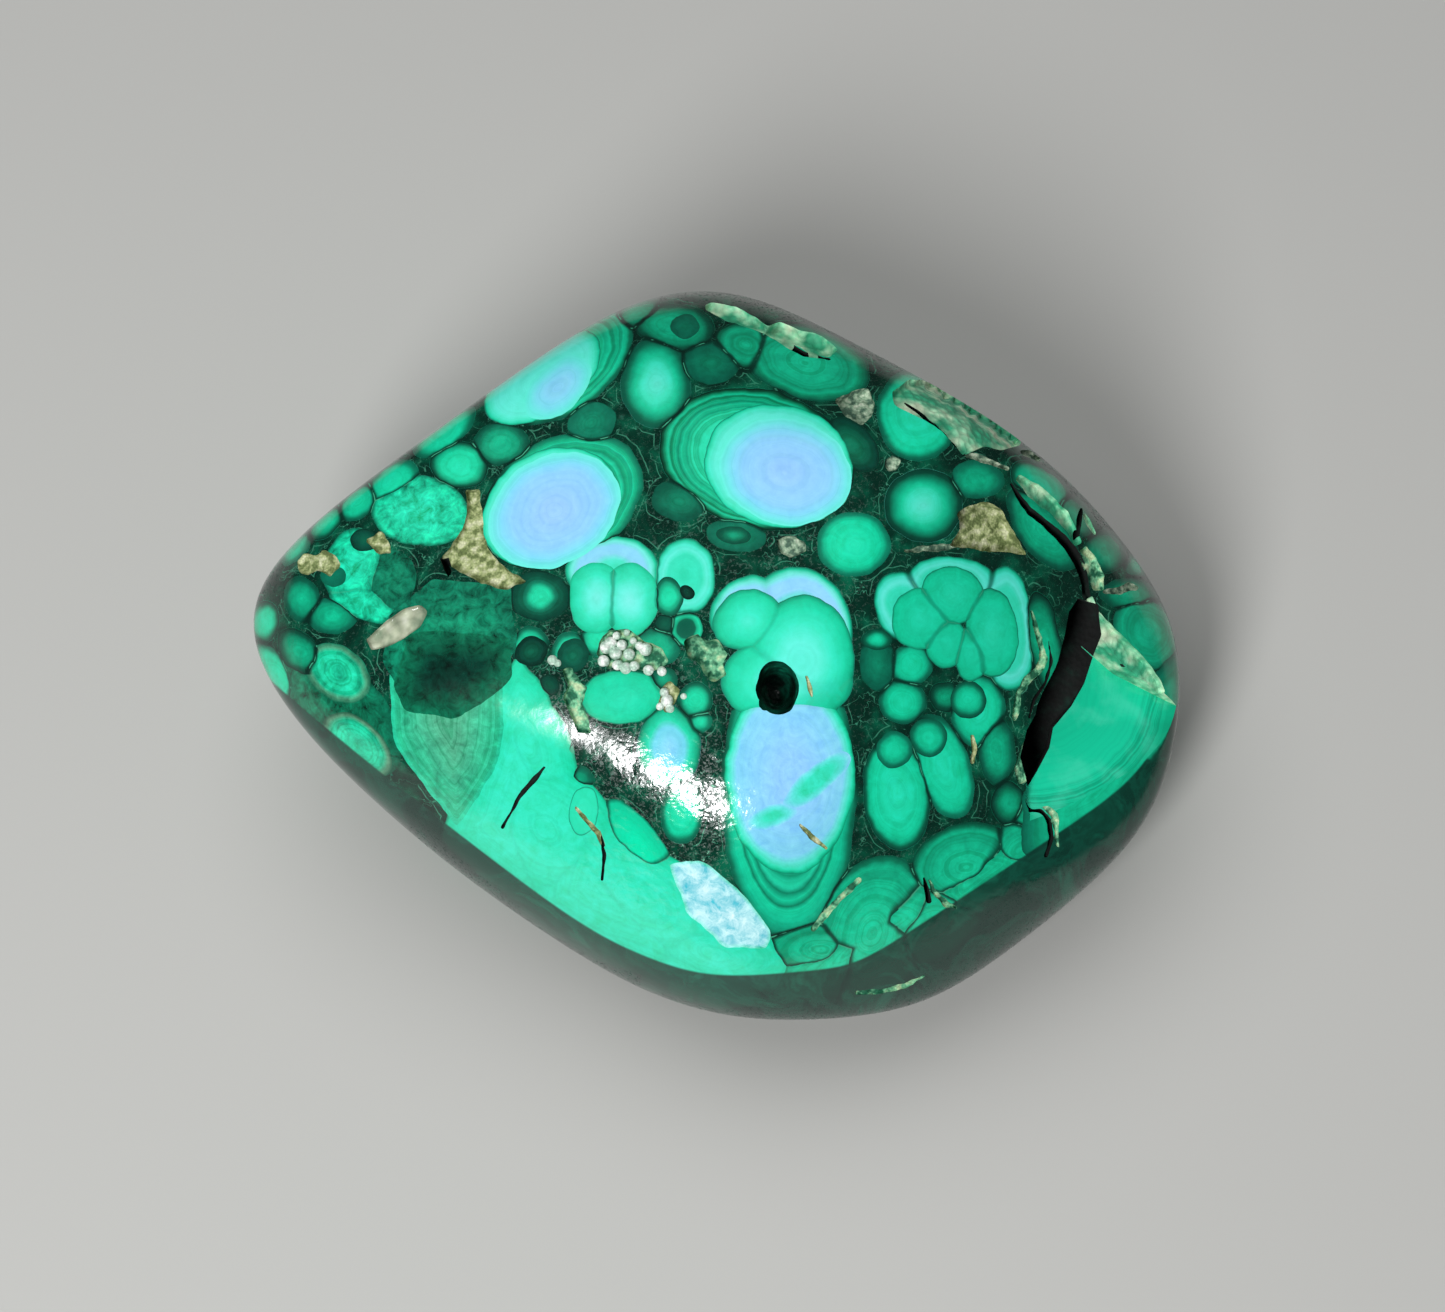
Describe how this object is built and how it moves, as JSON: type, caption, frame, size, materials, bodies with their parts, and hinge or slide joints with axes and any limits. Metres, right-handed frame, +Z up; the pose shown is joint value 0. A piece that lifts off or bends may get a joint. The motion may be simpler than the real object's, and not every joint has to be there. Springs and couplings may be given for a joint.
{
  "type": "malachite specimen",
  "caption": "Polished freeform lump of green malachite with banded eyes, a fissure, a sunken end, a hole and raw vugs, resting on a flat ground face.",
  "frame": {"origin": "middle of the stone's footprint box, on the level of its resting face", "axes": "+X along the stone's longest extent, towards the end with the fissure; +Z up from the resting face; the show side looks up and towards -Y"},
  "size_m": [0.0886, 0.0714, 0.0432],
  "materials": {
    "polished_malachite": "polished, banded light and dark green"
  },
  "bodies": {
    "root": {"malachite_stone": "polished_malachite"}
  },
  "joints": []
}
